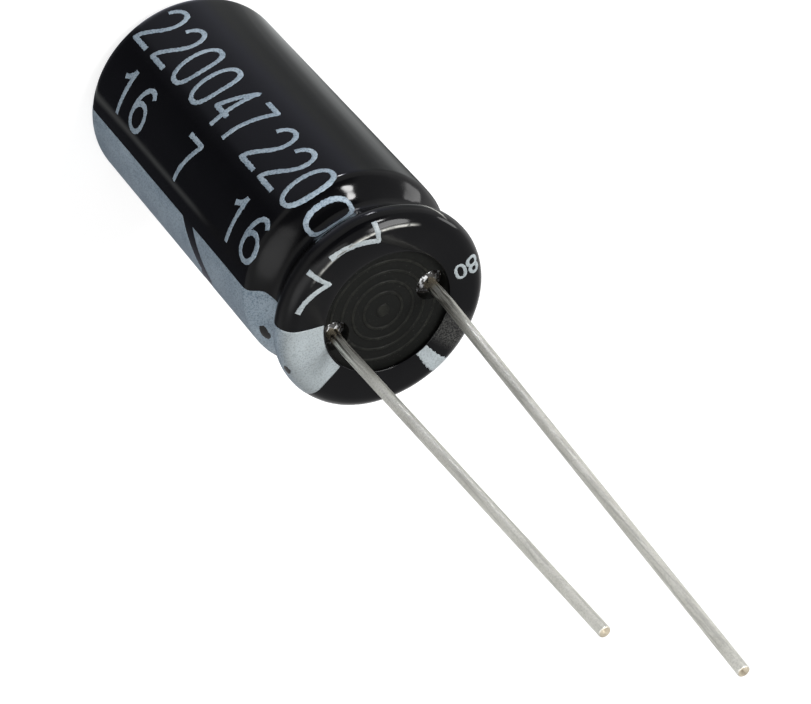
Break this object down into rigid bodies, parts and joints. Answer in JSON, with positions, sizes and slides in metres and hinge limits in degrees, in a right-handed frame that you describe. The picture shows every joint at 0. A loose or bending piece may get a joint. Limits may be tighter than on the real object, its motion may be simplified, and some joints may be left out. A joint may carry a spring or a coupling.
{
  "type": "radial electrolytic capacitor",
  "caption": "Round aluminium can in a black shrink sleeve with a pale polarity stripe, closed by a rubber seal that a long and a short tinned wire leave side by side.",
  "frame": {"origin": "centre of the ring that the sleeve makes round the head, which the part stands on", "axes": "+Z along the axis of the case, from the head towards the leads; +X towards the positive lead"},
  "size_m": [0.0102, 0.0102, 0.048],
  "materials": {
    "sleeve": "glossy black shrink sleeve",
    "ink": "pale grey-blue printing ink",
    "case_metal": "drawn satin aluminium",
    "seal_rubber": "matt black moulded rubber",
    "tinned_wire": "tinned wire, dull, with lengthwise drawing lines",
    "tab_metal": "pressed aluminium with a weld bead",
    "etched_foil": "matt grey etched foil",
    "cathode_metal": "satin foil",
    "paper": "paper soaked with electrolyte",
    "tape": "thin yellowish tape"
  },
  "bodies": {
    "root": {"sleeve": "sleeve", "polarity_stripe": "ink", "case": "case_metal", "seal": "seal_rubber", "positive_lead": "tinned_wire", "negative_lead": "tinned_wire", "positive_tab": "tab_metal", "negative_tab": "tab_metal", "anode_foil": "etched_foil", "cathode_foil": "cathode_metal", "inner_separator": "paper", "outer_separator": "paper", "closing_tape": "tape"}
  },
  "joints": []
}
